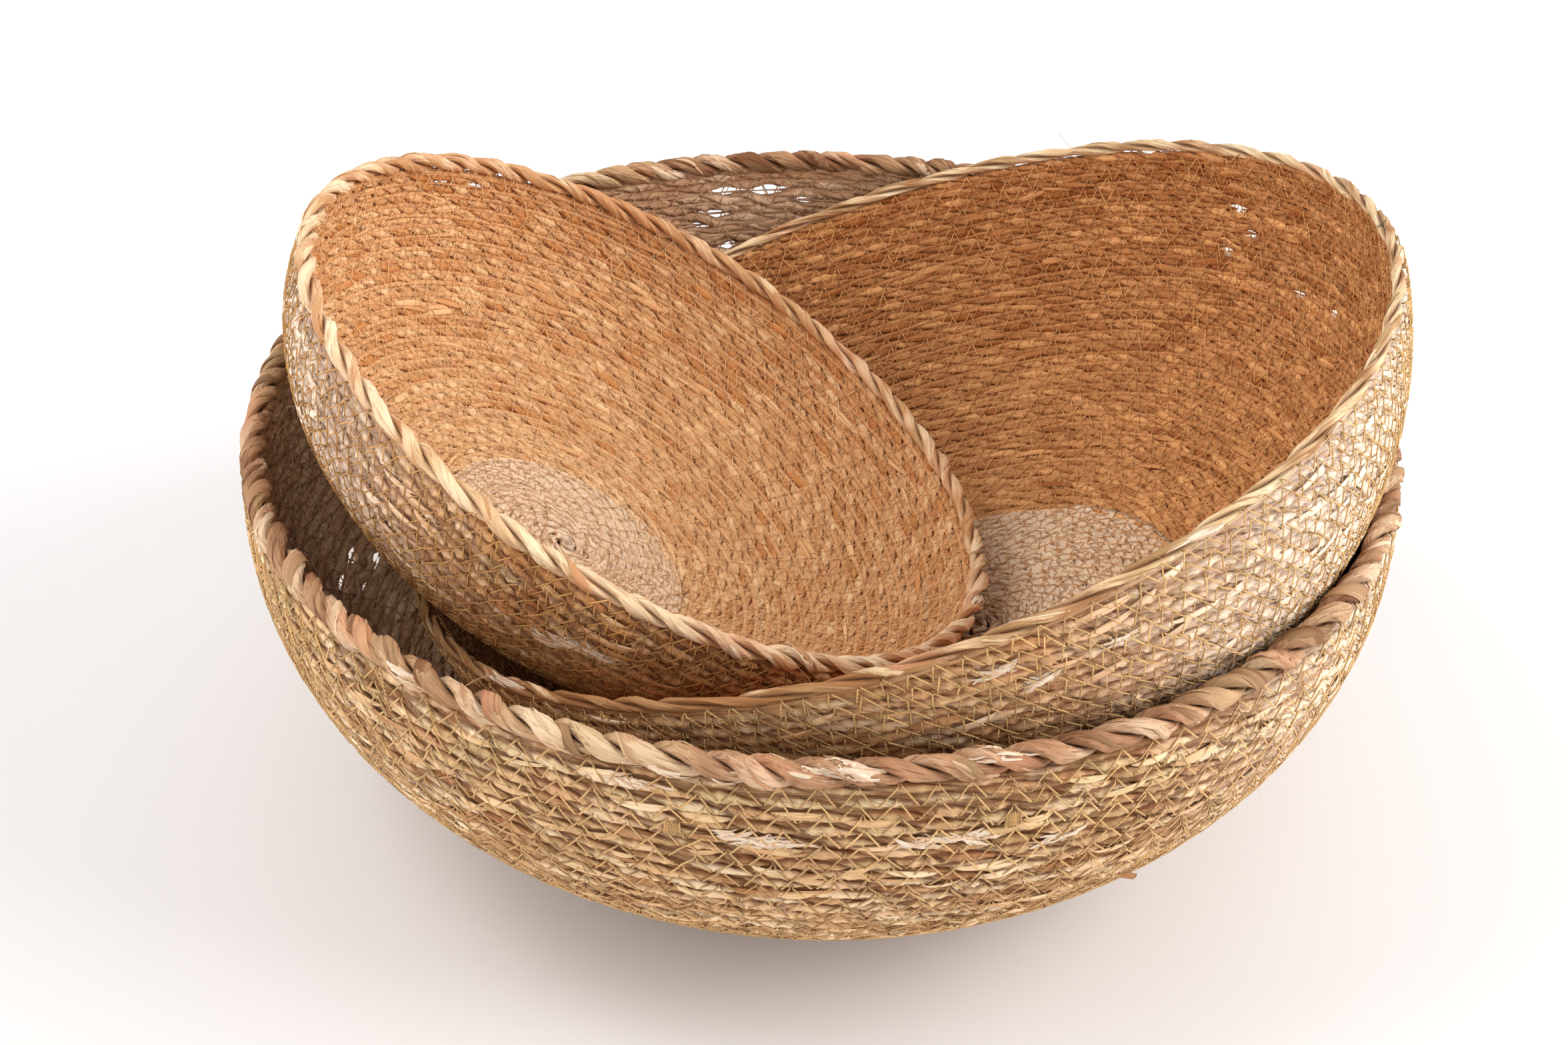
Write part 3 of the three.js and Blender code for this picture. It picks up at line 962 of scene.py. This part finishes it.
def fibres(bowl, rng, rim, count):
    """Fine hairs that stand off the cords and the rim."""
    strands = []
    for _ in range(count):
        heading = rng.uniform(0, 360)
        if rng.random() < 0.3:
            spot = rim.at("a", np.array([math.radians(heading)]), rng.uniform(-1, 2), bowl.blade * 0.5)[0]
            _, outward, sideways, upward = frame_at(bowl, heading, bowl.wall_top / MM - 1)
        else:
            height = rng.uniform(0.15, 0.97) * bowl.wall_top / MM
            spot, outward, sideways, upward = frame_at(bowl, heading, height, -0.2 * MM)
        course = (sideways * rng.choice([-1, 1]) * rng.uniform(0.2, 1) + outward * rng.uniform(0.1, 0.9)
                  + upward * rng.normal(0, 0.4))
        reach = rng.choice(HAIR_LENGTHS, p=HAIR_SHARES) * rng.uniform(0.7, 1.4)
        strands.append(Strand(curl(rng, spot, course, reach),
                              size=np.linspace(1, 0.35, 7) * rng.uniform(0.6, 1.3)))
    return strands


# Materials


class Wire:
    """A value in a material's node tree, on which plain arithmetic adds Math nodes."""

    def __init__(self, bench, socket):
        self.bench, self.socket = bench, socket

    def maths(self, operation, first, second=0.0):
        return self.bench.add("ShaderNodeMath", {"operation": operation}, {0: first, 1: second})

    def __add__(self, other):
        return self.maths("ADD", self, other)

    __radd__ = __add__

    def __mul__(self, other):
        return self.maths("MULTIPLY", self, other)

    __rmul__ = __mul__

    def __sub__(self, other):
        return self.maths("SUBTRACT", self, other)

    def __rsub__(self, other):
        return self.maths("SUBTRACT", other, self)

    def __truediv__(self, other):
        return self.maths("DIVIDE", self, other)


class Bench:
    """The node tree of a new material, or of the world."""

    def __init__(self, owner):
        owner.use_nodes = True
        self.owner, self.tree = owner, owner.node_tree
        self.tree.nodes.clear()

    def add(self, kind, settings=None, inlets=None, outlet=0):
        """Adds a node: its settings first, a ramp's stops among them, then its sockets."""
        node = self.tree.nodes.new(kind)
        for name, value in (settings or {}).items():
            if name == "stops":
                self.set_stops(node.color_ramp, *value)
            else:
                setattr(node, name, value)
        for name, value in (inlets or {}).items():
            if isinstance(value, Wire):
                self.tree.links.new(value.socket, node.inputs[name])
            else:
                node.inputs[name].default_value = value
        return Wire(self, node.outputs[outlet]) if len(node.outputs) else node

    def set_stops(self, ramp, stops, interpolation):
        ramp.interpolation = interpolation
        while len(ramp.elements) < len(stops):
            ramp.elements.new(1.0)
        for element, (position, value) in zip(ramp.elements, stops):
            element.position = position
            element.color = (*value, 1) if hasattr(value, "__len__") else (value, value, value, 1)

    def split(self, vector):
        """The three parts of a vector."""
        first = self.add("ShaderNodeSeparateXYZ", {}, {0: vector})
        return [Wire(self, socket) for socket in first.socket.node.outputs]

    def leaf(self, name):
        return self.add("ShaderNodeAttribute", {"attribute_name": name}, outlet="Vector")

    def noise(self, vector, stretch, detail=2.0, rough=0.5):
        """Noise on a vector that is first stretched along each axis."""
        stretched = self.add("ShaderNodeVectorMath", {"operation": "MULTIPLY"}, {0: vector, 1: stretch})
        return self.add("ShaderNodeTexNoise", {}, {"Vector": stretched, "Scale": 1.0,
                                                   "Detail": detail, "Roughness": rough}, "Fac")

    def ramp(self, value, stops, interpolation="LINEAR"):
        return self.add("ShaderNodeValToRGB", {"stops": (stops, interpolation)}, {0: value})

    def blend(self, mask, first, second):
        """The first colour turned into the second by a mask."""
        wet = {0: mask, 6: first, 7: second}
        for key in (6, 7):
            if not isinstance(wet[key], Wire):
                wet[key] = (*wet[key], 1)
        return self.add("ShaderNodeMix", {"data_type": "RGBA", "clamp_factor": True}, wet, 2)

    def finish(self, colour, roughness, bump=None, bump_height=0.0, specular=0.5, white=None):
        """Closes the tree with a Principled shader. Where a white mask is given, it turns white."""
        inlets = {"Base Color": colour, "Roughness": roughness, "Specular IOR Level": specular}
        if bump is not None:
            inlets["Normal"] = self.add("ShaderNodeBump", {}, {
                "Strength": 1.0, "Distance": bump_height, "Height": bump})
        shader = self.add("ShaderNodeBsdfPrincipled", {}, inlets)
        if white is not None:
            plain = self.add("ShaderNodeEmission", {}, {"Strength": 1.0})
            shader = self.add("ShaderNodeMixShader", {}, {0: white, 1: shader, 2: plain})
        self.add("ShaderNodeOutputMaterial", {}, {"Surface": shader})
        return self.owner


def tinted(tone, *shares):
    """A colour with one share taken of all its parts, or a share of each."""
    return [min(1.0, part * share) for part, share in zip(tone, shares * (3 // len(shares)))]


def tones_of(group, *names):
    return [list(getattr(group, name)) for name in names]


def leaf_finish(name, outside, inside=None, green_share=0.0, stretch=1.0, lined=0.4, bleached=None,
                chinks=0.5):
    """Dry seagrass leaf: long streaks, blotches, darker creases and a few torn pale places, with painted
    shade in its chinks and, for the walls, painted light on one side.
    """
    bench = Bench(bpy.data.materials.new(name))
    green, torn = tones_of(shared(), "green", "paper")
    grain = bench.leaf("grain")
    tone, depth, climb = bench.split(bench.leaf("place"))
    streak = bench.noise(grain, (55 * stretch, 1500, 1500), detail=3)
    fine = bench.noise(grain, (150 * stretch, 4200, 4200))
    blotch = bench.noise(grain, (60 * stretch, 260, 260))
    value = tone + (blotch - 0.5) * 0.7 + (streak - 0.5) * lined
    deep, middle, pale = outside
    skin = bench.ramp(value, [(0.05, deep), (0.5, middle), (0.92, pale)])
    if green_share:
        hue = bench.ramp(bench.noise(grain, (22, 150, 150), detail=1), [(0.42, 0.0), (0.62, 1.0)])
        fresh = bench.ramp(climb, [(0.84, 0.2), (0.95, 1.0)])
        skin = bench.blend(hue * fresh * green_share, skin, green)
    rosy = bench.ramp(bench.noise(grain, (30, 90, 90), detail=1), [(0.55, 0.0), (0.72, 1.0)])
    skin = bench.blend(rosy * 0.5, skin, linear(222, 156, 116))
    tear = bench.noise(grain, (75, 420, 420), detail=3, rough=0.65)
    bare = bench.ramp(tear + (blotch - 0.5) * 0.25, [(0.69, 0.0), (0.76, 1.0)])
    if inside:
        inner_deep, inner_pale = inside
        inner_mid = [(a + b) / 2 for a, b in zip(inner_deep, inner_pale)]
        lining = bench.ramp(value - climb * 0.3, [(0.0, inner_deep), (0.35, inner_mid), (0.75, inner_pale)])
        side = bench.ramp(depth, [(0.4, 0.0), (0.6, 1.0)])
        skin = bench.blend(side, skin, lining)
        bare = bare * (1 - side * 0.75)
        # Painted shade: the leaf darkens in the chinks between rows, most towards the outside, to a darker,
        # warmer tone of the deep leaf.
        painted_shade_mask = bench.ramp(depth, [(0.1, 0.0), (0.27, 1.0), (0.5, 0.6), (0.62, 0.3), (0.8, 0.0)])
        shade = tinted(deep, 0.5, 0.36, 0.24)
    else:
        painted_shade_mask, shade = bench.ramp(depth, [(0.27, 0.0), (0.44, 1.0)]), tinted(deep, 0.4, 0.3, 0.22)
    # Painted light: one side of each bowl is paled towards near-white where bright light falls on it, and the
    # painted shade in its chinks is thinned there.
    if bleached:
        turned, start, full, painted_paling = bleached
        across = bench.split(bench.add("ShaderNodeTexCoord", {}, {}, "Object"))[0]
        painted_light = bench.ramp((across * turned - start) / (full - start), [(0.0, 0.0), (1.0, 1.0)], "EASE")
        skin = bench.blend(painted_light * (1 - side) * painted_paling, skin, linear(255, 242, 225))
        painted_shade_mask = painted_shade_mask * (1 - painted_light * 0.65)
    skin = bench.blend(bare * 0.8, skin, torn)
    crease = bench.ramp(streak, [(0.32, 1.0), (0.45, 0.0)])
    skin = bench.blend(crease * 0.45, skin, tinted(deep, 0.6, 0.44, 0.3))
    # Painted shade in the chinks between rows, and in the seams between a rim's blades.
    skin = bench.blend(painted_shade_mask * chinks, skin, shade)
    return bench.finish(skin, 0.5 + streak * 0.3, streak * 0.9 + fine * 0.3 + blotch * 0.6, 0.0006, 0.22)


def thread_finish(name, tone):
    """Two-ply sewing yarn with a fine slanting twist."""
    bench = Bench(bpy.data.materials.new(name))
    grain = bench.leaf("grain")
    along, across, _ = bench.split(grain)
    slant = along * 5200 + across * 9000
    twist = slant.maths("SINE", slant)
    fade = bench.noise(grain, (35, 60, 60), detail=1)
    skin = bench.ramp(fade + twist * 0.08, [(0.3, tinted(tone, 0.62)), (0.5, tone),
                                            (0.75, tinted(tone, 1.35))])
    return bench.finish(skin, 0.6 + fade * 0.2, twist * 0.5, 0.0002)


def paper_finish(name):
    """Torn, papery leaf: paled by bleaching, with rust-coloured fibres."""
    bench = Bench(bpy.data.materials.new(name))
    tone, = tones_of(shared(), "paper")
    grain = bench.leaf("grain")
    streak = bench.noise(grain, (90, 2400, 2400), detail=4)
    rust = bench.ramp(bench.noise(grain, (120, 500, 500)), [(0.44, 0.0), (0.62, 1.0)])
    skin = bench.ramp(streak, [(0.32, tinted(tone, 0.6)), (0.46, tone)])
    skin = bench.blend(rust * 0.65, skin, linear(214, 158, 116))
    return bench.finish(skin, 0.75 + streak * 0.1, streak, 0.0004)


def stage_finish(name):
    """A plain table whose painted shade near the camera pales with distance, and which meets the white round
    it, for the camera alone.
    """
    bench = Bench(bpy.data.materials.new(name))
    near, far = tones_of(shared(), "stage_near", "stage_far")
    place = bench.add("ShaderNodeTexCoord", {}, {}, "Object")
    back = bench.split(place)[1]
    # Painted shade near the camera, fading to the far colour behind the bowls.
    depth = bench.ramp((back + 0.5) / 1.1, [(0.0, 0.0), (1.0, 1.0)], "EASE")
    away = bench.add("ShaderNodeVectorMath", {"operation": "LENGTH"}, {0: place}, "Value")
    edge = bench.ramp(away, [(0.7, 0.0), (0.96, 1.0)], "EASE")
    seen = bench.add("ShaderNodeLightPath", {}, {}, "Is Camera Ray")
    return bench.finish(bench.blend(depth, near, far), 0.6, specular=0.2, white=edge * seen)


def material(name, build, *parts, **options):
    """A material by its name, built the first time that it is asked for."""
    return bpy.data.materials.get(name) or build(name, *parts, **options)


def wall_finish(bowl):
    """The leaf material of one bowl's cord."""
    group = group_of(bowl)
    return material(
        bowl.name + "_leaf", leaf_finish, tones_of(group, "deep", "middle", "pale"),
        tones_of(group, "inside_deep", "inside_pale"), GREEN_SHARES[bowl.name],
        bleached=PAINTED_LIGHT_SIDE[bowl.name], chinks=CHINK_PAINTED_SHADE[bowl.name])


def floor_finish(bowl):
    """The paler leaf material of one bowl's floor."""
    tone, = tones_of(shared(), "floor_coil")
    deep = tinted(tone, 0.78, 0.7, 0.64)
    return material(bowl.name + "_floor_leaf", leaf_finish, [deep, tone, tinted(tone, 1.1)], [deep, tone])


def rim_finish(bowl):
    """The leaf material of one bowl's rim."""
    # The rims' chinks share sets the painted shade in the seams between their blades.
    return material(bowl.name + "_rim_leaf", leaf_finish, [linear(*tone) for tone in RIM_TONES[bowl.name]],
                    green_share=0.25, stretch=0.5, lined=0.6, chinks=0.85 if bowl is LARGE else 0.65)


def yarn_finish(bowl, side):
    """The sewing thread of one side of a bowl."""
    tone, = tones_of(group_of(bowl), "thread" if side == "outside" else "inside_thread")
    return material(f"{bowl.name}_{side}_yarn", thread_finish, tone)


def torn_finish():
    return material("torn_leaf", paper_finish)


# Operators


class SEAGRASS_OT_coils(bpy.types.Operator):
    """Winds the floor and wall cords of the three bowls"""

    bl_idname = "seagrass.coils"
    bl_label = "Wind the coils"

    def execute(self, context):
        for bowl in BOWLS:
            wind_coil(bowl)
        return {"FINISHED"}


class SEAGRASS_OT_rims(bpy.types.Operator):
    """Twists the two leaf blades of each rim round each other"""

    bl_idname = "seagrass.rims"
    bl_label = "Twist the rims"

    def execute(self, context):
        for bowl in BOWLS:
            rim, finish, name, blade = Rim(bowl), rim_finish(bowl), bowl.name, bowl.blade
            for letter in "ab":
                lay_down(f"{name}_rim_leaf_{letter}", bowl, [rim.blade(letter)], BLADE_SECTION,
                         blade * LEAF_DEPTH, blade * LEAF_WIDTH, finish,
                         [f"{name}_rim_blade_{letter}"], crisp=CRISP_LEAF, closed=True)
            slivers = rim.slivers(maker(name + "_rim_slivers"), int(5 * bowl.lays))
            lay_down(name + "_rim_slivers", bowl, slivers, STRIP_SECTION, blade * 0.07, blade * 0.24, finish,
                     crisp=CRISP_STRIP)
            if bowl is LARGE:
                lay_down(name + "_rim_bands", bowl, rim.bands(maker(name + "_bands")), STRIP_SECTION,
                         0.35 * MM, blade * 0.66, finish, crisp=CRISP_STRIP)
            lay_down(name + "_rim_scraps", bowl, rim.scraps(maker(name + "_scraps")), STRIP_SECTION,
                     0.18 * MM, 1.0 * MM, torn_finish())
        return {"FINISHED"}


class SEAGRASS_OT_sewing(bpy.types.Operator):
    """Sews row to row with a zigzag of thread, outside and inside"""

    bl_idname = "seagrass.sewing"
    bl_label = "Sew the rows"

    def execute(self, context):
        for bowl in BOWLS:
            coil, width = Coil(bowl, SEWING_STEP), group_of(bowl).thread_width
            for side, word, half, lift in ((1, "outside", width / 2, 0.34 * MM),
                                           (-1, "inside", width * 0.36, 0.12 * MM)):
                name = f"{bowl.name}_{word}_thread"
                lay_down(name, bowl, [zigzag(coil, maker(name), side, lift)], THREAD_SECTION, half, half,
                         yarn_finish(bowl, word), twist="MINIMUM")
        return {"FINISHED"}


class SEAGRASS_OT_trim(bpy.types.Operator):
    """Adds slivers of leaf, torn tufts and loose fibres"""

    bl_idname = "seagrass.trim"
    bl_label = "Add torn leaf and fibres"

    def execute(self, context):
        for bowl in BOWLS:
            coil, rng, share = Coil(bowl, TRIM_STEP), maker(bowl.name + "_trim"), TRIM_SHARES[bowl.name]
            for side, word, part in ((1, "outside", 1), (-1, "inside", 0.6)):
                strips = rough_strips(coil, rng, side, int(shared().slivers * share * part))
                lay_down(f"{bowl.name}_{word}_slivers", bowl, strips, STRIP_SECTION, 0.28 * MM, 1.15 * MM,
                         wall_finish(bowl))
            scraps = [strand for place in TUFTS[bowl.name] for strand in tuft(bowl, rng, *place)]
            lay_down(bowl.name + "_tufts", bowl, scraps, STRIP_SECTION, 0.16 * MM, 0.85 * MM, torn_finish())
            hairs = fibres(bowl, rng, Rim(bowl), int(shared().loose_fibres * share))
            lay_down(bowl.name + "_fibres", bowl, hairs, THREAD_SECTION, 0.06 * MM, 0.06 * MM,
                     wall_finish(bowl), twist="MINIMUM")
        self.ends()
        return {"FINISHED"}

    def ends(self):
        """The sewing's bar tacks, a yarn end, a stub of leaf and three stray fibres."""
        yarn = yarn_finish(LARGE, "outside")
        lay_down("large_bar_tacks", LARGE, [bar_tack(*place) for place in TACKS], THREAD_SECTION, 0.36 * MM,
                 0.36 * MM, yarn)
        wave = np.linspace(0, 1, 10)
        end = laid(LARGE, 227.4, 113.5, 1.2 + 3.4 * wave, 3.4 - 11.5 * wave, 0.9 - 0.4 * wave,
                   1 - 0.2 * wave, 0.9)
        lay_down("large_yarn_end", LARGE, [end], THREAD_SECTION, 0.5 * MM, 0.5 * MM, yarn)
        stub = laid(LARGE, 299.6, 55, -2 + 7 * wave, -0.4 - 1.2 * wave, -1.2 + 3.2 * wave,
                    0.75 + 0.5 * wave, 0.1)
        lay_down("large_leaf_stub", LARGE, [stub], STRIP_SECTION, 0.5 * MM, 1.3 * MM, wall_finish(LARGE))
        for name, (bowl, *course, thick) in STRAY_FIBRES.items():
            lay_down(name, bowl, [stray_fibre(bowl, *course)], THREAD_SECTION, thick * MM, thick * MM,
                     wall_finish(bowl), twist="MINIMUM")


class SEAGRASS_OT_stage(bpy.types.Operator):
    """Sets the table, the lamps and the camera"""

    bl_idname = "seagrass.stage"
    bl_label = "Set the stage"

    def execute(self, context):
        scene = context.scene
        table = bmesh.new()
        bmesh.ops.create_grid(table, x_segments=1, y_segments=1, size=TABLE_HALF)
        mesh = bpy.data.meshes.new("table")
        table.to_mesh(mesh)
        table.free()
        mesh.transform(Matrix.Translation(TABLE_MIDDLE))
        mesh.materials.append(stage_finish("table_top"))
        floor = self.hang(scene, "table", mesh)
        self.light(scene)
        self.camera(scene)
        return {"FINISHED"}

    def hang(self, scene, name, data):
        """Puts a mesh, a lamp or a camera in the scene as an object."""
        holder = bpy.data.objects.new(name, data)
        scene.collection.objects.link(holder)
        return holder

    def light(self, scene):
        """A dim white room that the camera sees as plain white, and the lamps."""
        scene.world = bpy.data.worlds.new("studio")
        bench = Bench(scene.world)
        camera_ray = bench.add("ShaderNodeLightPath", {}, {}, "Is Camera Ray")
        glossy_ray = bench.add("ShaderNodeLightPath", {}, {}, "Is Glossy Ray")
        seen = camera_ray.maths("MAXIMUM", camera_ray, glossy_ray)
        sky = bench.add("ShaderNodeBackground", {}, {
            "Color": (1, 1, 1, 1), "Strength": seen * (1 - ROOM_LIGHT) + ROOM_LIGHT})
        bench.add("ShaderNodeOutputWorld", {}, {"Surface": sky})
        for name, (spot, aim, size, power) in LAMPS.items():
            lamp = bpy.data.lights.new(name, "AREA")
            lamp.shape, lamp.size, lamp.energy = "SQUARE", size, power
            holder = self.hang(scene, name, lamp)
            holder.visible_camera = False
            self.aim(holder, spot, aim)
        snoot = bpy.data.lights.new("gap_snoot", "SPOT")
        snoot.energy, snoot.spot_size, snoot.spot_blend = 5.0, math.radians(19), 1.0
        snoot.shadow_soft_size = 0.1
        self.aim(self.hang(scene, "gap_snoot", snoot), (-0.06, -0.6, 0.52), (-0.15, 0.0, 0.08))
        scene.view_settings.view_transform = "Standard"

    def aim(self, holder, spot, aim):
        """Sets a lamp at a spot, turned to its aim."""
        holder.location = spot
        holder.rotation_euler = (Vector(aim) - Vector(spot)).to_track_quat("-Z", "Y").to_euler()

    def camera(self, scene):
        """The photograph's own viewpoint: a 50 mm lens from in front and above."""
        lens = bpy.data.cameras.new("camera")
        lens.sensor_width = 36
        lens.lens = 50.006
        lens.clip_start = 0.01
        yaw, pitch, roll = (math.radians(a) for a in CAMERA_TURN)
        forward = Vector((math.sin(yaw) * math.cos(pitch), math.cos(yaw) * math.cos(pitch),
                          -math.sin(pitch)))
        right = forward.cross(Vector((0, 0, 1))).normalized()
        up = right.cross(forward)
        side = right * math.cos(roll) + up * math.sin(roll)
        top = up * math.cos(roll) - right * math.sin(roll)
        scene.camera = self.hang(scene, "camera", lens)
        turn = Matrix((side, top, -forward)).transposed().to_4x4()
        scene.camera.matrix_world = Matrix.Translation(CAMERA_SPOT) @ turn


class SEAGRASS_PT_panel(bpy.types.Panel):
    """The steps in order, with their settings"""

    bl_idname = "SEAGRASS_PT_panel"
    bl_label = "Seagrass Bowls"
    bl_space_type = "VIEW_3D"
    bl_region_type = "UI"
    bl_category = "Seagrass"

    def draw(self, context):
        column = self.layout.column()
        for step in STEPS:
            column.operator(step.bl_idname)
        for name in GROUPS:
            box = self.layout.box()
            group = getattr(context.scene, name)
            for prop in group.bl_rna.properties:
                if prop.identifier not in ("rna_type", "name"):
                    box.prop(group, prop.identifier)


STEPS = (SEAGRASS_OT_coils, SEAGRASS_OT_rims, SEAGRASS_OT_sewing, SEAGRASS_OT_trim,
         SEAGRASS_OT_stage)
GROUPS = {"seagrass_set": SetSettings, "seagrass_large": LargeBowlSettings,
          "seagrass_medium": MediumBowlSettings, "seagrass_small": SmallBowlSettings}


def register():
    for part in (*GROUPS.values(), *STEPS, SEAGRASS_PT_panel):
        bpy.utils.register_class(part)
    for name, group in GROUPS.items():
        setattr(bpy.types.Scene, name, PointerProperty(type=group))


def unregister():
    for name in GROUPS:
        delattr(bpy.types.Scene, name)
    for part in reversed((*GROUPS.values(), *STEPS, SEAGRASS_PT_panel)):
        bpy.utils.unregister_class(part)


def main():
    register()
    bpy.ops.seagrass.coils()
    bpy.ops.seagrass.rims()
    bpy.ops.seagrass.sewing()
    bpy.ops.seagrass.trim()
    bpy.ops.seagrass.stage()


if __name__ == "__main__":
    main()
